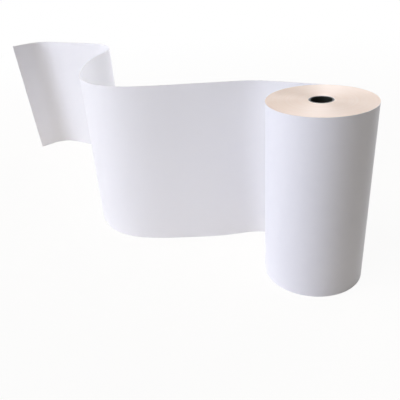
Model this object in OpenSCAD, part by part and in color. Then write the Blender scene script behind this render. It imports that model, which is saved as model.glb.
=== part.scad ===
// Thermal paper roll that stands on one end, with a long tail of paper drawn off it.
// Millimetres. The axis of the roll is Z and its lower end face lies at z = 0. The tail
// leaves the far side (+Y), runs to -X and swings away from the near side in an S.
//
// The paper is one sheet: the wound turns and the tail are the same web, so they are one
// solid. It is wound on a plastic tube, which is the only other piece.

/* [Web] */
// Width of the paper, which is the height of the roll as it stands
web_w = 110; // [57:1:216]
// Thickness of the paper
paper_t = 0.07; // [0.05:0.01:0.12]

/* [Roll] */
// Diameter over the outermost turn
roll_d = 60; // [40:1:90]
// Distance between the grooves that draw the turns on an end face
groove_pitch = 1.5; // [1:0.1:3]
// Width of a groove at the end face
groove_w = 0.4; // [0.2:0.05:0.6]
// Depth of a groove
groove_depth = 0.15; // [0.05:0.01:0.4]

/* [Core] */
// Diameter of the bore that takes the spindle
bore_d = 12; // [8:0.5:26]
// Wall of the core tube
core_wall = 0.8; // [0.5:0.1:3]
// Gap between the core and the first turn, left by the winding
winding_gap = 0.05; // [0.02:0.01:0.2]

/* [Tail] */
// Length of the loose paper, from the roll to the cut end
tail_len = 432; // [400:1:480]
// Place round the roll, from +X, where the tail leaves it
leave_angle = 60; // [45:1:75]
// Depth of the tail's root below the outermost turn, so that the two are one solid
root_depth = 0.15; // [0.1:0.01:0.3]
// Length of one flat facet of the curved tail
facet_len = 4; // [2:0.5:6]

/* [Tail bends] */
// Each bend has a turn in degrees, positive the way the roll is wound, the length of tail
// before it starts and the length of tail that it takes
// Turn by which the tail straightens as it lifts off the roll
lift_turn = 26; // [15:1:40]
// Start of that bend
lift_at = 35; // [20:1:44]
// Length of that bend
lift_len = 31; // [24:1:50]
// Turn of the first large bend, away from the near side
first_turn = -83; // [-92:1:-72]
// Start of the first large bend
first_at = 99; // [90:1:108]
// Length of the first large bend
first_len = 124; // [105:1:140]
// Turn by which the middle stretch eases on, the same way, before the second large bend
ease_turn = -23; // [-30:1:-15]
// Start of that bend
ease_at = 201; // [190:1:212]
// Length of that bend
ease_len = 90; // [75:1:105]
// Turn of the second large bend, back along the near side
second_turn = 80; // [70:1:90]
// Start of the second large bend
second_at = 256; // [246:1:266]
// Length of the second large bend
second_len = 100; // [85:1:115]
// Turn of the curl that the winding leaves at the cut end
curl_turn = 73; // [50:1:90]
// Start of the curl
curl_at = 387; // [376:1:394]
// Length of the curl
curl_len = 38; // [30:1:50]

/* [Tail lean] */
// The sheet leans a little where nothing holds it: its foot stands off from under its top
// edge, which follows the bends
// Distance by which the foot of the near stretch stands towards -Y
near_lean = 8.7; // [0:0.1:12]
// Length of tail before that lean starts
near_lean_at = 15; // [5:1:30]
// Length of tail in which it grows
near_lean_rise = 80; // [60:1:100]
// Length of tail before it starts to go back
near_lean_end = 140; // [120:1:160]
// Length of tail in which it goes back
near_lean_fall = 90; // [70:1:110]
// Distance by which the foot of the cut end stands towards +X
far_lean_x = 4.5; // [0:0.1:7]
// Distance by which the foot of the cut end stands towards +Y
far_lean_y = 4.5; // [0:0.1:7]
// Length of tail before that lean starts
far_lean_at = 290; // [270:1:310]
// Length of tail in which it grows
far_lean_rise = 130; // [110:1:140]

/* [Hidden] */
$fn = 180;

roll_r = roll_d / 2;
bore_r = bore_d / 2;
core_r = bore_r + core_wall;
wound_r = core_r + winding_gap;

// Grooves that fit between the first turn and the rim, with a plain band at each
groove_count = floor((roll_r - wound_r) / groove_pitch) - 1;
groove_radii = [for (i = [1:groove_count]) wound_r + i * groove_pitch];

paper_white = "#eeeef4";
core_black = "#161917";

// A smooth step from 0 to 1, whose slope and curvature are 0 at both ends
function eased(t) = let (u = max(0, min(1, t))) u * u * u * (10 + u * (6 * u - 15));

// The bends of the tail in their order: turn, start and length
tail_bends = [
    [lift_turn, lift_at, lift_len],
    [first_turn, first_at, first_len],
    [ease_turn, ease_at, ease_len],
    [second_turn, second_at, second_len],
    [curl_turn, curl_at, curl_len]
];
each_bend = [for (bend = tail_bends) 1];

// Direction of the tail at a length s from its root: square to the radius there, and
// then turned by every bend that it has passed
function turned(s) = [for (bend = tail_bends) bend[0] * eased((s - bend[1]) / bend[2])];
function heading(s) = leave_angle + 90 + turned(s) * each_bend;
function along(angle) = [cos(angle), sin(angle)];

facets = round(tail_len / facet_len);
facet = tail_len / facets;
root_point = (roll_r - root_depth) * along(leave_angle);

// Middle of the sheet's top edge, seen from above, one point at each end of every facet
middle = [
    for (i = 0, p = root_point;
         i <= facets;
         p = p + facet * along(heading((i + 0.5) * facet)), i = i + 1)
        p
];

// Where the foot of the sheet stands, against its top edge, at a length s from the root
function near_off(s) = near_lean * eased((s - near_lean_at) / near_lean_rise)
    * (1 - eased((s - near_lean_end) / near_lean_fall));
function far_off(s) = eased((s - far_lean_at) / far_lean_rise);
function foot_off(s) = [far_lean_x * far_off(s), far_lean_y * far_off(s) - near_off(s)];

// Cross section of the sheet at the end of a facet: its foot and its top, each with a
// corner on the left and on the right of the way that the tail runs
function cross_section(i) = let (
    left = paper_t / 2 * along(heading(i * facet) + 90),
    top = middle[i],
    foot = top + foot_off(i * facet)
) [
    [each (foot + left), 0], [each (foot - left), 0],
    [each (top - left), web_w], [each (top + left), web_w]
];

function backwards(points) = [for (i = [len(points) - 1:-1:0]) points[i]];

// A groove in the lower end face, as three points of the half section
function lower_groove(r) = [[r - groove_w / 2, 0], [r, groove_depth], [r + groove_w / 2, 0]];
function lower_grooves() = [for (r = groove_radii) each lower_groove(r)];

// The same face, turned over to the upper end
function upper_grooves() = [for (p = backwards(lower_grooves())) [p[0], web_w - p[1]]];

// Half section of the wound paper: a plain bore and rim, and an end face at each end with
// the grooves that the edges of the turns leave
module wound_section() {
    polygon(concat(
        [[wound_r, 0]],
        lower_grooves(),
        [[roll_r, 0], [roll_r, web_w]],
        upper_grooves(),
        [[wound_r, web_w]]
    ));
}

module wound_turns() {
    rotate_extrude()
        wound_section();
}

// The four faces of the facet that starts at the cross section i, each as a loop of corner
// numbers: foot, right side, top and left side. A loop starts where its fold starts, so
// both sides fold from the foot to the next top and stay one thickness apart
function facet_loops(i) = let (a = 4 * i, b = a + 4) [
    [a, a + 1, b + 1, b],
    [a + 1, a + 2, b + 2, b + 1],
    [a + 2, a + 3, b + 3, b + 2],
    [a, b, b + 3, a + 3]
];

// A loop of four corners as two triangles, because the side of a leaning sheet isn't flat
function folded(loop) = [[loop[0], loop[1], loop[2]], [loop[0], loop[2], loop[3]]];

// The loose paper stands on its edge
module loose_tail() {
    points = [for (i = [0:facets]) each cross_section(i)];
    skin = [for (i = [0:facets - 1], loop = facet_loops(i)) each folded(loop)];
    root_end = [3, 2, 1, 0];
    cut_end = [for (j = [0:3]) 4 * facets + j];
    polyhedron(points = points, faces = concat([root_end, cut_end], skin), convexity = 6);
}

module paper() {
    color(paper_white)
        union() {
            wound_turns();
            loose_tail();
        }
}

module core() {
    color(core_black)
        rotate_extrude()
            translate([bore_r, 0])
                square([core_wall, web_w]);
}

paper();
core();
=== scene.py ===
"""Looks of a thermal paper roll that stands on its end, with a long loose tail.

The paper is one web: the wound turns and the tail are one closed mesh, which Geometry Nodes
grow from the winding's and the tail's own rules. It is wound on a thin black plastic tube.
Every size below is in metres unless its name says otherwise.
"""
import logging
import math
from dataclasses import dataclass, field
from enum import Enum
from typing import ClassVar

import bmesh
import bpy
from mathutils import Matrix, Vector


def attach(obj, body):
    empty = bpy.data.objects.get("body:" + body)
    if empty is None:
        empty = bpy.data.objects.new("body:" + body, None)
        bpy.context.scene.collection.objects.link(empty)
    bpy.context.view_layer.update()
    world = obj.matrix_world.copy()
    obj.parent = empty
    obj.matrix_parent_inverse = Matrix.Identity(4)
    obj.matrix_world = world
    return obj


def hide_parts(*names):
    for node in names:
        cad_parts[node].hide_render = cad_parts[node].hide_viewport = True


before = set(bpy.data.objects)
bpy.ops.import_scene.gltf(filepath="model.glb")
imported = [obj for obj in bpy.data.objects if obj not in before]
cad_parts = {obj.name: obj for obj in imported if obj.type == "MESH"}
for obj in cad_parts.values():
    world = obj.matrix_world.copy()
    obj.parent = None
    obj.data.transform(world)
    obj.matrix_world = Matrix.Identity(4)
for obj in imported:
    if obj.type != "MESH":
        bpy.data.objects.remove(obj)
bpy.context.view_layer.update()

LOG = logging.getLogger("paper_roll")
MM = 0.001
WHITE = "#FFFFFF"
# An edge that folds more than this is drawn sharp.
CREASE = math.radians(28)
# Kinds of node that come up often.
MATH = "ShaderNodeMath"
VECTOR_MATH = "ShaderNodeVectorMath"
COMBINE = "ShaderNodeCombineXYZ"
SEPARATE = "ShaderNodeSeparateXYZ"
RANGE = "ShaderNodeMapRange"
NOISE = "ShaderNodeTexNoise"
MOVE = "GeometryNodeSetPosition"
# The colour sockets of a Mix node, which share their names with its other sockets.
MIX_FIRST, MIX_SECOND, MIX_RESULT = 6, 7, 2
# The whole-number sockets of a Compare node.
WHOLE_A, WHOLE_B = 2, 3

# What may feed an input: a socket, or a node by its first output.
Source = bpy.types.Node | bpy.types.NodeSocket


class Body(Enum):
    """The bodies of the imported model."""

    ROOT = "root"


class CadNode(Enum):
    """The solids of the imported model."""

    PAPER = "paper"
    CORE = "core"


class Slot(Enum):
    """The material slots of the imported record."""

    PAPER = "thermal_paper"
    PLASTIC = "black_plastic"


class Region(Enum):
    """The parts of the web that show a different side of the paper."""

    WOUND_SIDE = "wound side"
    CUT_EDGES = "cut edges"
    LOOSE_SHEET = "loose sheet"


# ---- Small helpers ----


def linear(hex_colour: str) -> tuple[float, float, float, float]:
    """Turn an sRGB hex colour into Blender's linear colour.

    Args:
        hex_colour: The colour, such as "#EDEEF4".

    Returns:
        Its linear red, green and blue, and an alpha of 1.
    """
    channels = [int(hex_colour[i:i + 2], 16) / 255 for i in (1, 3, 5)]
    return (*[c / 12.92 if c <= 0.04045 else ((c + 0.055) / 1.055) ** 2.4 for c in channels], 1.0)


def add_node(tree: bpy.types.NodeTree, kind: str, inputs: dict | None = None,
             **settings: object) -> bpy.types.Node:
    """Add a node to a tree, with its settings and with what feeds its inputs.

    Args:
        tree: The tree that gets the node.
        kind: Blender's own name for the kind of node.
        inputs: For an input, by name or number, its value, the socket that feeds it, the
            node whose first output feeds it, or a list of those.
        **settings: Properties of the node, such as its operation.

    Returns:
        The new node.
    """
    node = tree.nodes.new(kind)
    for name, value in settings.items():
        setattr(node, name, value)
    for key, value in (inputs or {}).items():
        for source in value if isinstance(value, list) else [value]:
            if isinstance(source, bpy.types.Node):
                source = source.outputs[0]
            if isinstance(source, bpy.types.NodeSocket):
                tree.links.new(source, node.inputs[key])
            else:
                node.inputs[key].default_value = source
    return node


def new_material(name: str) -> tuple[bpy.types.Material, bpy.types.NodeTree]:
    """Make an empty material.

    Args:
        name: The material's name.

    Returns:
        The material and its node tree.
    """
    material = bpy.data.materials.new(name)
    material.use_nodes = True
    material.node_tree.nodes.clear()
    return material, material.node_tree


def add_object(name: str, data: bpy.types.ID) -> bpy.types.Object:
    """Put new data into the scene as an object at the origin.

    Args:
        name: The object's name.
        data: Its mesh, lamp or camera data.

    Returns:
        The object.
    """
    thing = bpy.data.objects.new(name, data)
    bpy.context.scene.collection.objects.link(thing)
    return thing


# ---- Finishes ----


@dataclass(frozen=True)
class ThermalCoat:
    """Coated face of thermal paper, wound tight.

    The coat is calendered: a smooth, cool white with a soft sheen, no gloss, and a faint
    cloudiness where the fibres lie thicker.

    Attributes:
        name: The material's name.
        white: Colour of the coat.
        cloud: Its colour where the fibres lie thicker.
        roughness: Roughness of the coat.
        specular: Strength of its sheen.
        cloud_mm: Width of a cloud.
        fibre_mm: Width of a drawn fibre.
        fibre_height: Height of a drawn fibre.
        translucency: Share of the light that goes through the paper.
        glow: Colour of that light.
    """

    name: str = "thermal_paper_coat"
    white: str = "#EBECF3"
    cloud: str = "#E7E8F0"
    roughness: float = 0.52
    specular: float = 0.35
    cloud_mm: float = 7.0
    # Real fibres are 0.02 mm wide; they are drawn as coarse as they need to show.
    fibre_mm: float = 0.45
    fibre_height: float = 0.006 * MM
    translucency: float = 0.0
    glow: str = "#FCFCFE"

    def material(self) -> bpy.types.Material:
        """Build the coat's material.

        Returns:
            The material.
        """
        material, tree = new_material(self.name)
        place = add_node(tree, "ShaderNodeTexCoord").outputs["Object"]
        clouds = add_node(tree, NOISE, {
            "Vector": place, "Scale": 1 / (self.cloud_mm * MM), "Detail": 3.0, "Roughness": 0.6})
        colour = add_node(tree, "ShaderNodeMix", {
            "Factor": clouds, MIX_FIRST: linear(self.white), MIX_SECOND: linear(self.cloud)},
            data_type="RGBA")
        fibres = add_node(tree, NOISE, {
            "Vector": place, "Scale": 1 / (self.fibre_mm * MM), "Detail": 4.0,
            "Roughness": 0.7, "Distortion": 0.6})
        relief = add_node(tree, "ShaderNodeBump", {
            "Height": fibres, "Distance": self.fibre_height, "Strength": 1.0})
        surface = add_node(tree, "ShaderNodeBsdfPrincipled", {
            "Base Color": colour.outputs[MIX_RESULT], "Roughness": self.roughness,
            "Specular IOR Level": self.specular, "Normal": relief})
        if self.translucency > 0:
            through = add_node(tree, "ShaderNodeBsdfTranslucent", {
                "Color": linear(self.glow), "Normal": relief})
            surface = add_node(tree, "ShaderNodeMixShader", {
                0: self.translucency, 1: surface, 2: through})
        add_node(tree, "ShaderNodeOutputMaterial", {"Surface": surface})
        return material


@dataclass(frozen=True)
class CutEdges:
    """End faces of the winding, where the slitter cut every turn.

    The cut shows the bare stock between the coats, which is warmer than the coat. The
    edges of the turns lie in rings, so the face has a silky sheen across them.

    Attributes:
        name: The material's name.
        light: Colour of the lighter rings.
        dark: Colour of the darker rings.
        roughness: Roughness of the cut.
        specular: Strength of its sheen.
        anisotropic: How far the rings draw the sheen out.
        hairline_mm: Width of a drawn edge.
        hairline_height: Height of a drawn edge.
        ring_mm: Width of a ring of one colour.
    """

    name: str = "thermal_paper_edges"
    light: str = "#FEEEDD"
    dark: str = "#F7DFC8"
    roughness: float = 0.45
    specular: float = 0.5
    anisotropic: float = 0.7
    # A turn is 0.064 mm thick; the hairlines are drawn at about four turns each.
    hairline_mm: float = 0.27
    hairline_height: float = 0.02 * MM
    ring_mm: float = 2.4

    def material(self) -> bpy.types.Material:
        """Build the end faces' material.

        Returns:
            The material.
        """
        material, tree = new_material(self.name)
        place = add_node(tree, "ShaderNodeTexCoord").outputs["Object"]
        flat = add_node(tree, VECTOR_MATH, {0: place, 1: (1.0, 1.0, 0.0)}, operation="MULTIPLY")
        radius = add_node(tree, VECTOR_MATH, {0: flat}, operation="LENGTH").outputs["Value"]
        rings = add_node(tree, NOISE, {
            "W": radius, "Scale": 1 / (self.ring_mm * MM), "Detail": 4.0, "Roughness": 0.65},
            noise_dimensions="1D")
        hairs = add_node(tree, NOISE, {
            "W": radius, "Scale": 1 / (self.hairline_mm * MM), "Detail": 2.0},
            noise_dimensions="1D")
        colour = add_node(tree, "ShaderNodeMix", {
            "Factor": rings, MIX_FIRST: linear(self.dark), MIX_SECOND: linear(self.light)},
            data_type="RGBA")
        relief = add_node(tree, "ShaderNodeBump", {
            "Height": hairs, "Distance": self.hairline_height, "Strength": 1.0})
        # Along the rings: square to the radius and to the axis of the roll.
        along = add_node(tree, VECTOR_MATH, {0: (0.0, 0.0, 1.0), 1: flat},
                         operation="CROSS_PRODUCT")
        tangent = add_node(tree, VECTOR_MATH, {0: along}, operation="NORMALIZE")
        face = add_node(tree, "ShaderNodeBsdfPrincipled", {
            "Base Color": colour.outputs[MIX_RESULT], "Roughness": self.roughness,
            "Specular IOR Level": self.specular, "Anisotropic": self.anisotropic,
            "Tangent": tangent, "Normal": relief})
        add_node(tree, "ShaderNodeOutputMaterial", {"Surface": face})
        return material


@dataclass(frozen=True)
class ExtrudedPolystyrene:
    """Black polystyrene tube, extruded and sawn to length.

    Extruding leaves a semi-matte skin with faint lines along the tube.

    Attributes:
        name: The material's name.
        black: Colour of the skin.
        worn: Its colour where it is rubbed.
        roughness: Roughness of the skin.
        line_mm: Distance between two lines.
        line_height: Height of a line.
        line_squash: Scale of the lines' pattern along the tube, which draws them out.
    """

    name: str = "black_polystyrene_extruded"
    black: str = "#141715"
    worn: str = "#20251F"
    roughness: float = 0.42
    line_mm: float = 0.5
    line_height: float = 0.01 * MM
    line_squash: float = 0.03

    def material(self) -> bpy.types.Material:
        """Build the tube's material.

        Returns:
            The material.
        """
        material, tree = new_material(self.name)
        place = add_node(tree, "ShaderNodeTexCoord").outputs["Object"]
        drawn = add_node(tree, "ShaderNodeMapping", {
            "Vector": place, "Scale": (1.0, 1.0, self.line_squash)})
        lines = add_node(tree, NOISE, {
            "Vector": drawn, "Scale": 1 / (self.line_mm * MM), "Detail": 3.0})
        colour = add_node(tree, "ShaderNodeMix", {
            "Factor": lines, MIX_FIRST: linear(self.black), MIX_SECOND: linear(self.worn)},
            data_type="RGBA")
        relief = add_node(tree, "ShaderNodeBump", {
            "Height": lines, "Distance": self.line_height, "Strength": 1.0})
        skin = add_node(tree, "ShaderNodeBsdfPrincipled", {
            "Base Color": colour.outputs[MIX_RESULT], "Roughness": self.roughness,
            "Normal": relief})
        add_node(tree, "ShaderNodeOutputMaterial", {"Surface": skin})
        return material


# ---- The web of paper ----


@dataclass(frozen=True)
class Bend:
    """One eased bend of the tail.

    Attributes:
        name: What the bend does.
        turn: Its turn in degrees, positive the way the roll is wound.
        start: Length of tail before it.
        length: Length of tail that it takes.
    """

    name: str
    turn: float
    start: float
    length: float


@dataclass(frozen=True)
class Lean:
    """One eased step of the tail's foot, away from where its top edge stands.

    Attributes:
        name: What the step does.
        foot: How far the foot moves in X and Y.
        start: Length of tail before the step.
        length: Length of tail that it takes.
    """

    name: str
    foot: tuple[float, float]
    start: float
    length: float


@dataclass
class PaperWeb:
    """The whole web: a tight winding on its end, and the tail that leaves it.

    Attributes:
        width: Width of the web, which is the height of the roll.
        thickness: Thickness of the sheet.
        roll_radius: Radius over the outermost turn.
        wound_radius: Radius under the first turn.
        leave_degrees: Place round the roll where the tail leaves it.
        tail_length: Length of the loose paper.
        root_depth: Depth of the tail's root below the outermost turn.
        station: Distance between two cross sections of the tail.
        rows: Rows of faces over the height of the tail.
        bends: The bends of the tail in their order.
        leans: The steps by which the tail's foot moves out from under its top edge.
        drawn_turns: Turns that the end faces draw. The real turns are ten times as many.
        columns: Steps of one turn.
        groove_share: Half width of the groove between two turns, as a share of the pitch.
        groove_depth: Depth of that groove.
        level_depth: Most that a turn lies below the end plane.
        gap_depth: Depth of the gap inside the loose part of the outer turn.
        gap_share: What that gap adds to its groove's width, as a share of the pitch.
        gap_turn_share: Middle of that gap, as a share of a turn after the tail's root.
        gap_half_share: Half of that gap's length, as a share of a turn.
        seed: Seed of the turns' levels.
        finishes: The finish of each region.
    """

    # The attribute that carries the length of tail from the root to each point.
    LENGTH_MARK: ClassVar[str] = "tail_length"
    # The strip's rows to a turn: the groove's floor and the two lips of the land outside it.
    TURN_ROWS: ClassVar[float] = 3.0
    # How far the noise that gives the levels moves on from one turn to the next.
    LEVEL_STEP: ClassVar[float] = 0.9
    # Points nearer than this are one.
    MERGED_BELOW: ClassVar[float] = 0.001 * MM
    # How far the border of a region lies from the surface that it names.
    REGION_SLACK: ClassVar[float] = 0.02 * MM
    width: float = 110 * MM
    thickness: float = 0.07 * MM
    roll_radius: float = 30 * MM
    wound_radius: float = 6.85 * MM
    leave_degrees: float = 60.0
    tail_length: float = 432 * MM
    root_depth: float = 0.15 * MM
    station: float = 1.25 * MM
    rows: int = 10
    bends: tuple[Bend, ...] = (
        Bend("Lift", 26, 35 * MM, 31 * MM),
        Bend("First", -83, 99 * MM, 124 * MM),
        Bend("Ease", -23, 201 * MM, 90 * MM),
        Bend("Second", 80, 256 * MM, 100 * MM),
        Bend("Curl", 73, 387 * MM, 38 * MM),
    )
    leans: tuple[Lean, ...] = (
        Lean("Foot Out", (0.0, -8.7 * MM), 15 * MM, 80 * MM),
        Lean("Foot Back", (0.0, 8.7 * MM), 140 * MM, 90 * MM),
        Lean("End Foot", (4.5 * MM, 4.5 * MM), 290 * MM, 130 * MM),
    )
    drawn_turns: int = 36
    columns: int = 240
    groove_share: float = 0.16
    groove_depth: float = 0.10 * MM
    level_depth: float = 0.05 * MM
    gap_depth: float = 4.0 * MM
    gap_share: float = 0.3
    gap_turn_share: float = 0.405
    gap_half_share: float = 0.05
    seed: float = 4.0
    finishes: dict[Region, ThermalCoat | CutEdges] = field(default_factory=lambda: {
        Region.WOUND_SIDE: ThermalCoat(),
        Region.CUT_EDGES: CutEdges(),
        Region.LOOSE_SHEET: ThermalCoat(name="thermal_paper_sheet", white="#F9F9FC",
                                        cloud="#F5F5F9", translucency=0.5),
    })

    def build(self) -> bpy.types.Object:
        """Grow the web and stand it in for the CAD's paper.

        Returns:
            The finished piece.
        """
        piece = add_object("paper_web", bpy.data.meshes.new("paper_web"))
        grow = piece.modifiers.new("grow", "NODES")
        grow.node_group = self.web_tree()
        self.set_sizes(grow)
        graph = bpy.context.evaluated_depsgraph_get()
        grown = bpy.data.meshes.new_from_object(piece.evaluated_get(graph))
        piece.modifiers.clear()
        piece.data = grown
        grown.name = "paper_web"
        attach(piece, Body.ROOT.value)
        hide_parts(CadNode.PAPER.value)
        return piece

    def sizes(self) -> dict[str, float | int]:
        """Name every size that the tree takes.

        Returns:
            The value of each named input.
        """
        sizes: dict[str, float | int] = {
            "Web Width": self.width,
            "Paper Thickness": self.thickness,
            "Roll Radius": self.roll_radius,
            "Wound Radius": self.wound_radius,
            "Leave Angle": math.radians(self.leave_degrees),
            "Tail Length": self.tail_length,
            "Root Depth": self.root_depth,
            "Stations": round(self.tail_length / self.station),
            "Rows": self.rows,
            "Drawn Turns": self.drawn_turns,
            "Columns": self.columns,
            "Groove Share": self.groove_share,
            "Groove Depth": self.groove_depth,
            "Level Depth": self.level_depth,
            "Gap Depth": self.gap_depth,
            "Gap Share": self.gap_share,
            "Gap Place": self.gap_turn_share,
            "Gap Half": self.gap_half_share,
            "Seed": self.seed,
        }
        for bend in self.bends:
            sizes[f"{bend.name} Turn"] = math.radians(bend.turn)
            sizes[f"{bend.name} Start"] = bend.start
            sizes[f"{bend.name} Length"] = bend.length
        for lean in self.leans:
            sizes[f"{lean.name} X"], sizes[f"{lean.name} Y"] = lean.foot
            sizes[f"{lean.name} Start"] = lean.start
            sizes[f"{lean.name} Length"] = lean.length
        return sizes

    def set_sizes(self, modifier: bpy.types.Modifier) -> None:
        """Give the modifier its sizes, each by its socket's identifier.

        Args:
            modifier: The modifier that holds the tree.
        """
        sizes = self.sizes()
        for socket in modifier.node_group.interface.items_tree:
            if socket.in_out == "INPUT" and socket.name in sizes:
                modifier[socket.identifier] = sizes[socket.name]

    def web_tree(self) -> bpy.types.NodeTree:
        """Build the tree that grows the winding, grows the tail and joins them.

        Returns:
            The tree.
        """
        tree = bpy.data.node_groups.new("grow_web", "GeometryNodeTree")
        tree.interface.new_socket("Geometry", in_out="OUTPUT", socket_type="NodeSocketGeometry")
        for name, value in self.sizes().items():
            kind = "NodeSocketInt" if isinstance(value, int) else "NodeSocketFloat"
            tree.interface.new_socket(name, in_out="INPUT", socket_type=kind)
        size = add_node(tree, "NodeGroupInput").outputs
        winding = self.add_winding(tree, size)
        tail = self.add_tail(tree, size)
        web = add_node(tree, "GeometryNodeMeshBoolean", {"Mesh 2": [winding, tail]},
                       operation="UNION", solver="MANIFOLD")
        smooth = add_node(tree, "GeometryNodeSetShadeSmooth", {"Geometry": web}, domain="FACE")
        fold = add_node(tree, "GeometryNodeInputMeshEdgeAngle")
        crease = add_node(tree, "FunctionNodeCompare", {0: fold, 1: CREASE},
                          data_type="FLOAT", operation="GREATER_THAN")
        sharp = add_node(tree, "GeometryNodeSetShadeSmooth", {
            "Geometry": smooth, "Selection": crease, "Shade Smooth": False}, domain="EDGE")
        real = add_node(tree, "GeometryNodeRealizeInstances", {"Geometry": sharp})
        add_node(tree, "NodeGroupOutput", {0: self.add_materials(tree, size, real)})
        return tree

    def add_winding(self, tree: bpy.types.NodeTree, size: bpy.types.NodeOutputs) -> bpy.types.Node:
        """Add the nodes of the wound turns: two end faces, the side and the bore wall.

        Both end faces are one strip that runs out along the spiral of the winding, so the
        grooves between the turns are one spiral groove, as they are on a real roll.

        Args:
            tree: The tree that gets the nodes.
            size: The tree's named inputs.

        Returns:
            The node that gives the closed winding.
        """
        columns = add_node(tree, MATH, {0: size["Columns"], 1: 1.0}, operation="ADD")
        rows = add_node(tree, MATH, {
            0: size["Drawn Turns"], 1: self.TURN_ROWS, 2: self.TURN_ROWS},
            operation="MULTIPLY_ADD")
        row_points = add_node(tree, MATH, {0: rows, 1: 1.0}, operation="ADD")
        strip = add_node(tree, "GeometryNodeMeshGrid", {
            "Size X": 1.0, "Size Y": 1.0, "Vertices X": columns, "Vertices Y": row_points})
        where = add_node(tree, SEPARATE, {0: add_node(tree, "GeometryNodeInputPosition")})
        share = add_node(tree, MATH, {0: where.outputs["X"], 1: 0.5}, operation="ADD")
        up = add_node(tree, MATH, {0: where.outputs["Y"], 1: 0.5}, operation="ADD")
        row_raw = add_node(tree, MATH, {0: up, 1: rows}, operation="MULTIPLY")
        row = add_node(tree, MATH, {0: row_raw}, operation="ROUND")
        angle = add_node(tree, MATH, {0: share, 1: math.tau, 2: size["Leave Angle"]},
                         operation="MULTIPLY_ADD")
        around = self.add_direction(tree, angle)
        radius, depth = self.add_spiral(tree, size, share, row)
        lower_end = add_node(tree, MOVE, {
            "Geometry": strip, "Position": self.add_place(tree, around, radius, depth)})
        mirrored = add_node(tree, "GeometryNodeTransform", {
            "Geometry": lower_end, "Scale": (1.0, 1.0, -1.0),
            "Translation": add_node(tree, COMBINE, {"Z": size["Web Width"]})})
        upper_end = add_node(tree, "GeometryNodeFlipFaces", {"Mesh": mirrored})

        wall = add_node(tree, "GeometryNodeMeshGrid", {
            "Size X": 1.0, "Size Y": 1.0, "Vertices X": columns, "Vertices Y": 2})
        height = add_node(tree, MATH, {0: up, 1: size["Web Width"]}, operation="MULTIPLY")
        side, bore = (
            add_node(tree, MOVE, {
                "Geometry": wall, "Position": self.add_place(tree, around, size[reach], height)})
            for reach in ("Roll Radius", "Wound Radius"))
        bore_wall = add_node(tree, "GeometryNodeFlipFaces", {"Mesh": bore})
        shell = add_node(tree, "GeometryNodeJoinGeometry", {
            0: [lower_end, upper_end, side, bore_wall]})
        return add_node(tree, "GeometryNodeMergeByDistance", {
            "Geometry": shell, "Distance": self.MERGED_BELOW})

    def add_spiral(self, tree: bpy.types.NodeTree, size: bpy.types.NodeOutputs, share: Source,
                   row: Source) -> tuple[bpy.types.Node, bpy.types.Node]:
        """Add the nodes that tell where a point of the end face's strip lies.

        Args:
            tree: The tree that gets the nodes.
            size: The tree's named inputs.
            share: The point's share of a turn after the tail's root.
            row: Its row of the strip.

        Returns:
            The nodes that give its radius and its depth below the end plane.
        """
        turns = size["Drawn Turns"]
        turn_raw = add_node(tree, MATH, {0: row, 1: self.TURN_ROWS}, operation="DIVIDE")
        turn = add_node(tree, MATH, {0: turn_raw}, operation="FLOOR")
        turn_rows = add_node(tree, MATH, {0: turn, 1: self.TURN_ROWS}, operation="MULTIPLY")
        kind = add_node(tree, MATH, {0: row, 1: turn_rows}, operation="SUBTRACT")
        on_land = add_node(tree, MATH, {0: kind, 1: 0.5}, operation="GREATER_THAN")
        in_groove = add_node(tree, MATH, {0: 1.0, 1: on_land}, operation="SUBTRACT")
        on_far_lip = add_node(tree, MATH, {0: kind, 1: 1.5}, operation="GREATER_THAN")
        on_near_lip = add_node(tree, MATH, {0: on_land, 1: on_far_lip}, operation="SUBTRACT")
        opened = self.add_opened(tree, size, share, turn)

        # The land takes what the groove's two halves leave of the pitch.
        land = add_node(tree, MATH, {0: size["Groove Share"], 1: -2.0, 2: 1.0},
                        operation="MULTIPLY_ADD")
        near_lip = add_node(tree, MATH, {0: on_land, 1: size["Groove Share"]},
                            operation="MULTIPLY")
        lips = add_node(tree, MATH, {0: on_far_lip, 1: land, 2: near_lip},
                        operation="MULTIPLY_ADD")
        spread = add_node(tree, MATH, {0: on_near_lip, 1: size["Gap Share"]},
                          operation="MULTIPLY")
        aside = add_node(tree, MATH, {0: opened, 1: spread, 2: lips}, operation="MULTIPLY_ADD")
        before = add_node(tree, MATH, {0: turn, 1: 1.0}, operation="SUBTRACT")
        line = add_node(tree, MATH, {0: before, 1: share}, operation="ADD")
        wound_raw = add_node(tree, MATH, {0: line, 1: aside}, operation="ADD")
        wound_low = add_node(tree, MATH, {0: wound_raw, 1: 0.0}, operation="MAXIMUM")
        wound = add_node(tree, MATH, {0: wound_low, 1: turns}, operation="MINIMUM")
        radius = add_node(tree, RANGE, {
            "Value": wound, "From Max": turns,
            "To Min": size["Wound Radius"], "To Max": size["Roll Radius"]})

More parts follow.
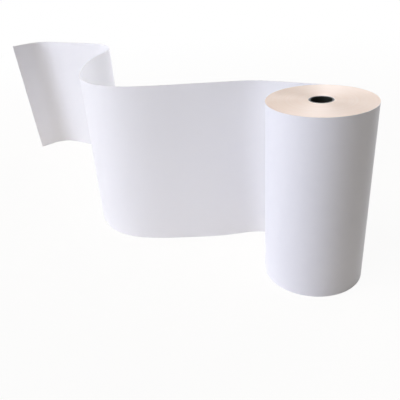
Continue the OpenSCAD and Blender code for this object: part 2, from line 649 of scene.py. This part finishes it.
        # The relief fades out at the first turn and at the rim, which stay in the end plane.
        left = add_node(tree, MATH, {0: turns, 1: wound}, operation="SUBTRACT")
        least = add_node(tree, MATH, {0: wound, 1: left}, operation="MINIMUM")
        fade = add_node(tree, MATH, {0: least, 1: 1.0}, operation="MINIMUM")
        band = add_node(tree, MATH, {0: line, 1: on_land}, operation="ADD")
        draw = add_node(tree, MATH, {0: band, 1: self.LEVEL_STEP, 2: size["Seed"]},
                        operation="MULTIPLY_ADD")
        level = add_node(tree, NOISE, {"W": draw, "Scale": 1.0, "Detail": 1.0},
                         noise_dimensions="1D")
        sunk = add_node(tree, MATH, {0: level, 1: size["Level Depth"]}, operation="MULTIPLY")
        relief = add_node(tree, MATH, {0: in_groove, 1: size["Groove Depth"], 2: sunk},
                          operation="MULTIPLY_ADD")
        faded = add_node(tree, MATH, {0: relief, 1: fade}, operation="MULTIPLY")
        open_groove = add_node(tree, MATH, {0: opened, 1: in_groove}, operation="MULTIPLY")
        gap = add_node(tree, MATH, {0: open_groove, 1: size["Gap Depth"]}, operation="MULTIPLY")
        inside_rim = add_node(tree, MATH, {0: wound, 1: turns}, operation="LESS_THAN")
        gap_inside = add_node(tree, MATH, {0: gap, 1: inside_rim}, operation="MULTIPLY")
        return radius, add_node(tree, MATH, {0: faded, 1: gap_inside}, operation="ADD")

    def add_opened(self, tree: bpy.types.NodeTree, size: bpy.types.NodeOutputs, share: Source,
                   turn: Source) -> bpy.types.Node:
        """Add the nodes that tell how far the groove inside the outermost turn gapes.

        The outermost turn stands a hair off the rest over a short part of the rim.

        Args:
            tree: The tree that gets the nodes.
            size: The tree's named inputs.
            share: The point's share of a turn after the tail's root.
            turn: The turn that it lies in.

        Returns:
            The node that gives 1 where the gap is widest and 0 where there is none.
        """
        off = add_node(tree, MATH, {0: share, 1: size["Gap Place"]}, operation="SUBTRACT")
        ajar = add_node(tree, RANGE, {
            "Value": add_node(tree, MATH, {0: off}, operation="ABSOLUTE"),
            "From Max": size["Gap Half"], "To Min": 1.0, "To Max": 0.0},
            interpolation_type="SMOOTHSTEP")
        last = add_node(tree, MATH, {0: turn, 1: size["Drawn Turns"], 2: 0.5},
                        operation="COMPARE")
        return add_node(tree, MATH, {0: last, 1: ajar}, operation="MULTIPLY")

    def add_direction(self, tree: bpy.types.NodeTree, angle: Source) -> list[bpy.types.Node]:
        """Add the nodes that turn an angle into a direction.

        Args:
            tree: The tree that gets the nodes.
            angle: The angle from +X.

        Returns:
            The nodes that give its cosine and its sine.
        """
        return [add_node(tree, MATH, {0: angle}, operation=f) for f in ("COSINE", "SINE")]

    def add_place(self, tree: bpy.types.NodeTree, around: list[bpy.types.Node],
                  radius: Source, height: Source) -> bpy.types.Node:
        """Add the nodes that turn a radius, a direction and a height into a point.

        Args:
            tree: The tree that gets the nodes.
            around: The cosine and the sine of the direction.
            radius: The radius.
            height: The height.

        Returns:
            The node that gives the point.
        """
        flat = [add_node(tree, MATH, {0: part, 1: radius}, operation="MULTIPLY")
                for part in around]
        return add_node(tree, COMBINE, {"X": flat[0], "Y": flat[1], "Z": height})

    def add_eased(self, tree: bpy.types.NodeTree, size: bpy.types.NodeOutputs, step: Bend | Lean,
                  length: Source, full: Source | float) -> bpy.types.Node:
        """Add the nodes that ease in a bend or a lean over its part of the tail.

        Args:
            tree: The tree that gets the nodes.
            size: The tree's named inputs.
            step: The bend or the lean.
            length: Length of tail up to the point.
            full: What the step comes to once it is passed.

        Returns:
            The node that gives what the step has come to at the point.
        """
        since = add_node(tree, MATH, {0: length, 1: size[f"{step.name} Start"]},
                         operation="SUBTRACT")
        return add_node(tree, RANGE, {
            "Value": since, "From Max": size[f"{step.name} Length"], "To Max": full},
            interpolation_type="SMOOTHERSTEP")

    def add_tail(self, tree: bpy.types.NodeTree, size: bpy.types.NodeOutputs) -> bpy.types.Node:
        """Add the nodes of the tail: a path that adds up its own headings, and a sheet on it.

        Args:
            tree: The tree that gets the nodes.
            size: The tree's named inputs.

        Returns:
            The node that gives the closed sheet.
        """
        points = add_node(tree, MATH, {0: size["Stations"], 1: 1.0}, operation="ADD")
        line = add_node(tree, "GeometryNodeMeshLine", {"Count": points, "Offset": (0.0, 0.0, 0.0)},
                        mode="OFFSET")
        step = add_node(tree, MATH, {0: size["Tail Length"], 1: size["Stations"]},
                        operation="DIVIDE")
        index = add_node(tree, "GeometryNodeInputIndex")
        path = add_node(tree, MOVE, {
            "Geometry": line, "Position": self.add_course(tree, size, index, step)})
        marked = add_node(tree, "GeometryNodeStoreNamedAttribute", {
            "Geometry": path, "Name": self.LENGTH_MARK,
            "Value": add_node(tree, MATH, {0: index, 1: step}, operation="MULTIPLY")},
            data_type="FLOAT", domain="POINT")
        curve = add_node(tree, "GeometryNodeMeshToCurve", {"Mesh": marked})
        upright = add_node(tree, "GeometryNodeSetCurveNormal", {"Curve": curve}, mode="Z_UP")
        # Rows over the height keep the two sides of the twisted sheet one thickness apart.
        rows = add_node(tree, MATH, {0: size["Rows"], 1: 1.0}, operation="ADD")
        card = add_node(tree, "GeometryNodeMeshGrid", {
            "Size X": size["Paper Thickness"], "Size Y": size["Web Width"],
            "Vertices X": 2, "Vertices Y": rows})
        beside = add_node(tree, "GeometryNodeInputMeshEdgeNeighbors")
        outer = add_node(tree, "FunctionNodeCompare", {WHOLE_A: beside, WHOLE_B: 1},
                         data_type="INT", operation="EQUAL")
        outline = add_node(tree, "GeometryNodeMeshToCurve", {"Mesh": card, "Selection": outer})
        section = add_node(tree, "GeometryNodeReverseCurve", {"Curve": outline})
        sheet = add_node(tree, "GeometryNodeCurveToMesh", {
            "Curve": upright, "Profile Curve": section, "Fill Caps": True})
        return self.add_lean(tree, size, sheet)

    def add_course(self, tree: bpy.types.NodeTree, size: bpy.types.NodeOutputs, index: Source,
                   step: Source) -> bpy.types.Node:
        """Add the nodes that place the points of the tail's path, each a step past the last.

        Args:
            tree: The tree that gets the nodes.
            size: The tree's named inputs.
            index: The point's number.
            step: Length of one step.

        Returns:
            The node that gives the point's place.
        """
        middle = add_node(tree, MATH, {0: index, 1: 0.5}, operation="ADD")
        length = add_node(tree, MATH, {0: middle, 1: step}, operation="MULTIPLY")
        heading = add_node(tree, MATH, {0: size["Leave Angle"], 1: math.pi / 2}, operation="ADD")
        for bend in self.bends:
            turned = self.add_eased(tree, size, bend, length, size[f"{bend.name} Turn"])
            heading = add_node(tree, MATH, {0: heading, 1: turned}, operation="ADD")
        ahead = self.add_direction(tree, heading)
        stride = add_node(tree, COMBINE, {"X": ahead[0], "Y": ahead[1]})
        strides = add_node(tree, VECTOR_MATH, {0: stride, "Scale": step}, operation="SCALE")
        passed = add_node(tree, "GeometryNodeAccumulateField", {0: strides},
                          data_type="FLOAT_VECTOR", domain="POINT")
        root_radius = add_node(tree, MATH, {0: size["Roll Radius"], 1: size["Root Depth"]},
                               operation="SUBTRACT")
        half_width = add_node(tree, MATH, {0: size["Web Width"], 1: 0.5}, operation="MULTIPLY")
        root = self.add_place(tree, self.add_direction(tree, size["Leave Angle"]), root_radius,
                              half_width)
        return add_node(tree, VECTOR_MATH, {0: root, 1: passed.outputs["Trailing"]},
                        operation="ADD")

    def add_lean(self, tree: bpy.types.NodeTree, size: bpy.types.NodeOutputs,
                 sheet: bpy.types.Node) -> bpy.types.Node:
        """Add the nodes that move the sheet's foot out from under its top edge.

        Args:
            tree: The tree that gets the nodes.
            size: The tree's named inputs.
            sheet: The node that gives the upright sheet, which carries its length.

        Returns:
            The node that gives the leaning sheet.
        """
        length = add_node(tree, "GeometryNodeInputNamedAttribute", {"Name": self.LENGTH_MARK},
                          data_type="FLOAT")
        moves = []
        for lean in self.leans:
            foot = add_node(tree, COMBINE, {
                "X": size[f"{lean.name} X"], "Y": size[f"{lean.name} Y"]})
            moves.append(add_node(tree, VECTOR_MATH, {
                0: foot, "Scale": self.add_eased(tree, size, lean, length, 1.0)},
                operation="SCALE"))
        offset = moves[0]
        for move in moves[1:]:
            offset = add_node(tree, VECTOR_MATH, {0: offset, 1: move}, operation="ADD")
        where = add_node(tree, SEPARATE, {0: add_node(tree, "GeometryNodeInputPosition")})
        height = add_node(tree, MATH, {0: where.outputs["Z"], 1: size["Web Width"]},
                          operation="DIVIDE")
        down = add_node(tree, MATH, {0: 1.0, 1: height}, operation="SUBTRACT")
        leaning = add_node(tree, MOVE, {
            "Geometry": sheet,
            "Offset": add_node(tree, VECTOR_MATH, {0: offset, "Scale": down},
                               operation="SCALE")})
        return add_node(tree, "GeometryNodeRemoveAttribute", {
            "Geometry": leaning, "Name": self.LENGTH_MARK})

    def add_materials(self, tree: bpy.types.NodeTree, size: bpy.types.NodeOutputs,
                      web: bpy.types.Node) -> bpy.types.Node:
        """Add the nodes that give each region of the web its finish.

        Args:
            tree: The tree that gets the nodes.
            size: The tree's named inputs.
            web: The node that gives the bare web.

        Returns:
            The node that gives the dressed web.
        """
        place = add_node(tree, "GeometryNodeInputPosition")
        flat = add_node(tree, VECTOR_MATH, {0: place, 1: (1.0, 1.0, 0.0)}, operation="MULTIPLY")
        radius = add_node(tree, VECTOR_MATH, {0: flat}, operation="LENGTH").outputs["Value"]
        facing = add_node(tree, SEPARATE, {0: add_node(tree, "GeometryNodeInputNormal")})
        upness = add_node(tree, MATH, {0: facing.outputs["Z"]}, operation="ABSOLUTE")
        level = add_node(tree, MATH, {0: upness, 1: 0.5}, operation="GREATER_THAN")
        over_rim = add_node(tree, MATH, {0: size["Roll Radius"], 1: self.REGION_SLACK},
                            operation="ADD")
        under_rim = add_node(tree, MATH, {0: size["Roll Radius"], 1: self.REGION_SLACK},
                             operation="SUBTRACT")
        bore = add_node(tree, MATH, {0: size["Wound Radius"], 1: self.REGION_SLACK},
                        operation="ADD")
        below = add_node(tree, MATH, {0: radius, 1: under_rim}, operation="LESS_THAN")
        beyond = add_node(tree, MATH, {0: radius, 1: bore}, operation="GREATER_THAN")
        in_face = add_node(tree, MATH, {0: below, 1: beyond}, operation="MULTIPLY")
        edges = add_node(tree, MATH, {0: level, 1: in_face}, operation="MAXIMUM")
        loose = add_node(tree, MATH, {0: radius, 1: over_rim}, operation="GREATER_THAN")
        chosen = {Region.WOUND_SIDE: True, Region.LOOSE_SHEET: loose, Region.CUT_EDGES: edges}
        for region, selection in chosen.items():
            web = add_node(tree, "GeometryNodeSetMaterial", {
                "Geometry": web, "Selection": selection,
                "Material": self.finishes[region].material()})
        return web


# ---- The core tube ----


@dataclass
class CoreTube:
    """The thin tube that the paper is wound on.

    Attributes:
        length: Length of the tube, flush with the paper at both ends.
        bore_radius: Radius of the bore.
        wall: Thickness of the wall.
        edge: Width of the broken edge at each mouth.
        sides: Steps round the tube.
        finish: The tube's finish.
    """

    length: float = 110 * MM
    bore_radius: float = 6 * MM
    wall: float = 0.8 * MM
    edge: float = 0.15 * MM
    sides: int = 160
    finish: ExtrudedPolystyrene = ExtrudedPolystyrene()

    def build(self) -> bpy.types.Object:
        """Turn the tube's section round its axis and stand it in for the CAD's core.

        Returns:
            The finished piece.
        """
        mesh = bpy.data.meshes.new("core_tube")
        shape = bmesh.new()
        rings = []
        for radius, height in self.section():
            rings.append([shape.verts.new((
                radius * math.cos(math.tau * i / self.sides),
                radius * math.sin(math.tau * i / self.sides), height))
                for i in range(self.sides)])
        for ring, after in zip(rings, rings[1:] + rings[:1]):
            for i in range(self.sides):
                j = (i + 1) % self.sides
                shape.faces.new((ring[i], ring[j], after[j], after[i]))
        bmesh.ops.recalc_face_normals(shape, faces=shape.faces)
        for face in shape.faces:
            face.smooth = True
        for edge in shape.edges:
            edge.smooth = edge.calc_face_angle(0.0) < CREASE
        shape.to_mesh(mesh)
        shape.free()
        mesh.materials.append(self.finish.material())
        piece = add_object("core_tube", mesh)
        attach(piece, Body.ROOT.value)
        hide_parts(CadNode.CORE.value)
        return piece

    def section(self) -> list[tuple[float, float]]:
        """Give the half section of the wall.

        Returns:
            The radius and height of each corner, in order round the section.
        """
        outside = self.bore_radius + self.wall
        top = self.length
        return [
            (self.bore_radius + self.edge, 0.0), (outside - self.edge, 0.0),
            (outside, self.edge), (outside, top - self.edge),
            (outside - self.edge, top), (self.bore_radius + self.edge, top),
            (self.bore_radius, top - self.edge), (self.bore_radius, self.edge),
        ]


# ---- The studio ----


@dataclass(frozen=True)
class Lamp:
    """One soft lamp.

    Attributes:
        name: The lamp's name.
        azimuth: Degrees from the viewer's side, positive to the right.
        elevation: Degrees above the floor.
        watts: Power.
        colour: Colour of the light.
        distance: Distance from the object's middle.
        side: Width and height of the lamp's square face.
    """

    name: str
    azimuth: float
    elevation: float
    watts: float
    colour: str
    distance: float = 3.0
    side: float = 1.6


@dataclass
class Studio:
    """A pale floor, a white surround and soft lamps.

    Attributes:
        floor_half: Half the width of the floor.
        floor_drop: Gap under the object.
        floor_colour: Colour that the floor has for the light that falls on it.
        floor_white: Share of plain white that the viewer sees in the floor by the object.
        fade_from: Distance at which that share starts to rise.
        fade_to: Distance at which the floor is all white to the viewer.
        surround: Colour of the light from all round.
        surround_strength: Strength of that light.
        aim: The point that the lamps face.
        lamps: The lamps.
    """

    floor_half: float = 8.0
    floor_drop: float = 0.02 * MM
    floor_colour: str = "#F8F1E0"
    floor_white: float = 0.93
    fade_from: float = 0.2
    fade_to: float = 0.9
    surround: str = "#F4F3FA"
    surround_strength: float = 0.01
    aim: tuple[float, float, float] = (-0.06, 0.05, 0.05)
    lamps: tuple[Lamp, ...] = (
        Lamp("window_high", -60, 60, 42.0, "#F8F7FF"),
        Lamp("window_left", -75, 12, 52.0, "#E8EEFF"),
        Lamp("wall_left", -110, 12, 11.0, "#FFF8EA"),
        Lamp("window_back", 135, 12, 49.0, "#F6F9FF"),
        Lamp("window_back_high", 150, 20, 18.0, "#F6F9FF"),
        Lamp("ceiling", 0, 85, 10.0, "#FFF8FA"),
    )

    def build(self) -> None:
        """Lay the floor, set the world and hang the lamps."""
        self.lay_floor()
        self.set_world()
        for lamp in self.lamps:
            self.hang(lamp)

    def add_seen_white(self, tree: bpy.types.NodeTree) -> bpy.types.Node:
        """Add the nodes that tell which rays see plain white.

        Light that the paper scatters or lets through is no such ray, so that the white
        background adds no light to it.

        Args:
            tree: The tree that gets the nodes.

        Returns:
            The node that gives 1 for the viewer's, mirrored and clear rays, and 0 otherwise.
        """
        rays = add_node(tree, "ShaderNodeLightPath").outputs
        sharp = add_node(tree, MATH, {0: 1.0, 1: rays["Is Diffuse Ray"]},
                         operation="SUBTRACT")
        clear = add_node(tree, MATH, {0: rays["Is Transmission Ray"], 1: sharp},
                         operation="MULTIPLY")
        mirrored = add_node(tree, MATH, {0: rays["Is Glossy Ray"], 1: clear},
                            operation="MAXIMUM")
        return add_node(tree, MATH, {0: rays["Is Camera Ray"], 1: mirrored},
                        operation="MAXIMUM")

    def lay_floor(self) -> bpy.types.Object:
        """Lay a plain pale floor that keeps the object's shadow.

        Returns:
            The floor.
        """
        material, tree = new_material("studio_floor")
        card = add_node(tree, "ShaderNodeBsdfDiffuse", {"Color": linear(self.floor_colour)})
        white = add_node(tree, "ShaderNodeEmission", {"Color": linear(WHITE), "Strength": 1.0})
        place = add_node(tree, "ShaderNodeTexCoord").outputs["Object"]
        away = add_node(tree, VECTOR_MATH, {0: place, 1: self.aim}, operation="DISTANCE")
        whiter = add_node(tree, RANGE, {
            "Value": away.outputs["Value"], "From Min": self.fade_from, "From Max": self.fade_to,
            "To Min": self.floor_white, "To Max": 1.0}, interpolation_type="SMOOTHSTEP")
        share = add_node(tree, MATH, {
            0: self.add_seen_white(tree), 1: whiter}, operation="MULTIPLY")
        both = add_node(tree, "ShaderNodeMixShader", {0: share, 1: card, 2: white})
        add_node(tree, "ShaderNodeOutputMaterial", {"Surface": both})
        half, low = self.floor_half, -self.floor_drop
        mesh = bpy.data.meshes.new("studio_floor")
        mesh.from_pydata([(-half, -half, low), (half, -half, low), (half, half, low),
                          (-half, half, low)], [], [(0, 1, 2, 3)])
        mesh.materials.append(material)
        floor = add_object("studio_floor", mesh)
        return floor

    def set_world(self) -> None:
        """Make a world that lights softly and looks white."""
        world = bpy.data.worlds.new("studio_surround")
        world.use_nodes = True
        tree = world.node_tree
        tree.nodes.clear()
        light = add_node(tree, "ShaderNodeBackground", {
            "Color": linear(self.surround), "Strength": self.surround_strength})
        white = add_node(tree, "ShaderNodeBackground", {
            "Color": linear(WHITE), "Strength": 1.0})
        both = add_node(tree, "ShaderNodeMixShader", {
            0: self.add_seen_white(tree), 1: light, 2: white})
        add_node(tree, "ShaderNodeOutputWorld", {"Surface": both})
        bpy.context.scene.world = world

    def hang(self, lamp: Lamp) -> bpy.types.Object:
        """Hang one lamp and turn it to the object.

        Args:
            lamp: The lamp's place, size and light.

        Returns:
            The lamp's object.
        """
        data = bpy.data.lights.new(lamp.name, "AREA")
        data.shape, data.size = "SQUARE", lamp.side
        data.energy = lamp.watts
        data.color = linear(lamp.colour)[:3]
        side, up = math.radians(lamp.azimuth), math.radians(lamp.elevation)
        away = Vector((math.sin(side) * math.cos(up), -math.cos(side) * math.cos(up),
                       math.sin(up)))
        thing = add_object(lamp.name, data)
        thing.location = Vector(self.aim) + away * lamp.distance
        thing.rotation_euler = away.to_track_quat("Z", "Y").to_euler()
        return thing


@dataclass(frozen=True)
class PhotoCamera:
    """The camera of the photograph, worked out from the roll's rims, sides and tail.

    Attributes:
        focal_pixels: Focal length in pixels.
        frame_pixels: Width and height of the picture.
        pitch_degrees: How far the camera looks down.
        roll_degrees: How far it is tilted about its own axis.
        place: Where it stands.
        sensor_mm: Width of the sensor.
    """

    focal_pixels: float = 475.53
    frame_pixels: float = 400.0
    pitch_degrees: float = 28.138
    roll_degrees: float = -4.287
    place: tuple[float, float, float] = (-68.96 * MM, -247.94 * MM, 187.13 * MM)
    sensor_mm: float = 36.0

    def build(self) -> bpy.types.Object:
        """Make the camera and give it to the scene.

        Returns:
            The camera.
        """
        data = bpy.data.cameras.new("photo_camera")
        data.sensor_width = self.sensor_mm
        data.lens = self.focal_pixels * self.sensor_mm / self.frame_pixels
        data.clip_start = 10 * MM
        pitch, roll = math.radians(self.pitch_degrees), math.radians(self.roll_degrees)
        ahead = Vector((0.0, math.cos(pitch), -math.sin(pitch)))
        level, plumb = Vector((1.0, 0.0, 0.0)), Vector((0.0, math.sin(pitch), math.cos(pitch)))
        right = math.cos(roll) * level + math.sin(roll) * plumb
        over = -math.sin(roll) * level + math.cos(roll) * plumb
        turned = Matrix((right, over, -ahead)).transposed()
        camera = add_object("photo_camera", data)
        camera.matrix_world = Matrix.Translation(self.place) @ turned.to_4x4()
        bpy.context.scene.camera = camera
        return camera


def report(piece: bpy.types.Object) -> None:
    """Log what a piece came to.

    Args:
        piece: The finished piece.
    """
    piece.data.calc_loop_triangles()
    LOG.info("%s: %d vertices, %d triangles, finishes %s", piece.name, len(piece.data.vertices),
             len(piece.data.loop_triangles), [m.name for m in piece.data.materials])


def main() -> None:
    """Build the camera, the paper, the core and the studio, in that order."""
    logging.basicConfig(level=logging.INFO, format="%(name)s: %(message)s")
    bpy.context.scene.view_settings.view_transform = "Standard"
    PhotoCamera().build()
    report(PaperWeb().build())
    report(CoreTube().build())
    Studio().build()


if __name__ == "__main__":
    main()
